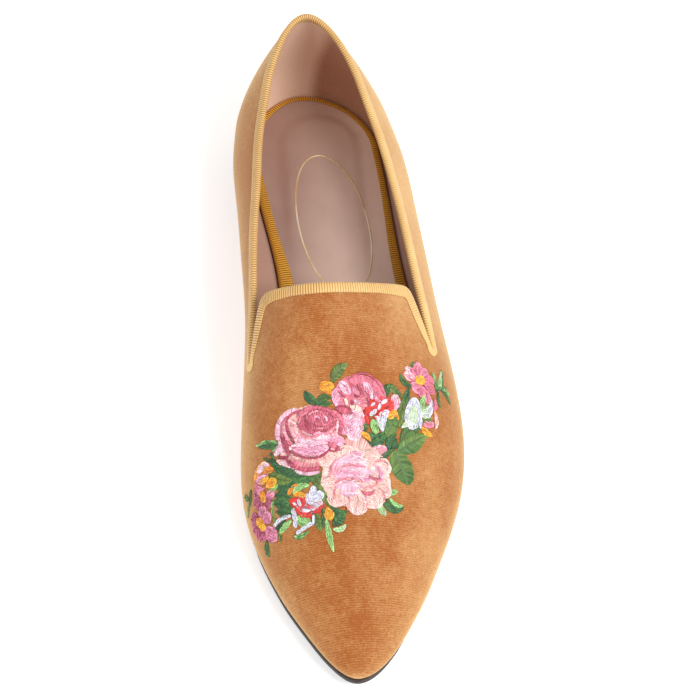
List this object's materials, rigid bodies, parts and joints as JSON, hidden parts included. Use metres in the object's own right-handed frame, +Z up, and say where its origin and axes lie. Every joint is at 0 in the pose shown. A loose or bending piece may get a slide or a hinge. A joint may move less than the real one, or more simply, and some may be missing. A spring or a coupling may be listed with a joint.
{
  "type": "loafer",
  "caption": "Velvet slipper loafer for a left foot: hollow pointed upper with bound topline and side slits, ribbon-edged leather insole, thin outsole and low stacked heel.",
  "frame": {"origin": "on the floor, under the centre of the shoe's bounding box", "axes": "+Z up, toe to -Y and heel to +Y, +X to the outer (lateral) side of the left foot"},
  "size_m": [0.0856, 0.2662, 0.0652],
  "materials": {
    "sole_leather": "black-brown leather outsole, dressed edge",
    "heel_leather": "black-brown heel block, dressed edge",
    "insole_leather": "smooth dusty pink-taupe lining leather",
    "insole_ribbon": "deep gold grosgrain ribbon",
    "velvet": "orange-brown velvet pile",
    "ribbon": "pale gold grosgrain ribbon"
  },
  "bodies": {
    "root": {"outsole": "sole_leather", "heel": "heel_leather", "insole": "insole_leather", "insole_binding": "insole_ribbon", "upper": "velvet", "topline_binding": "ribbon"}
  },
  "joints": []
}
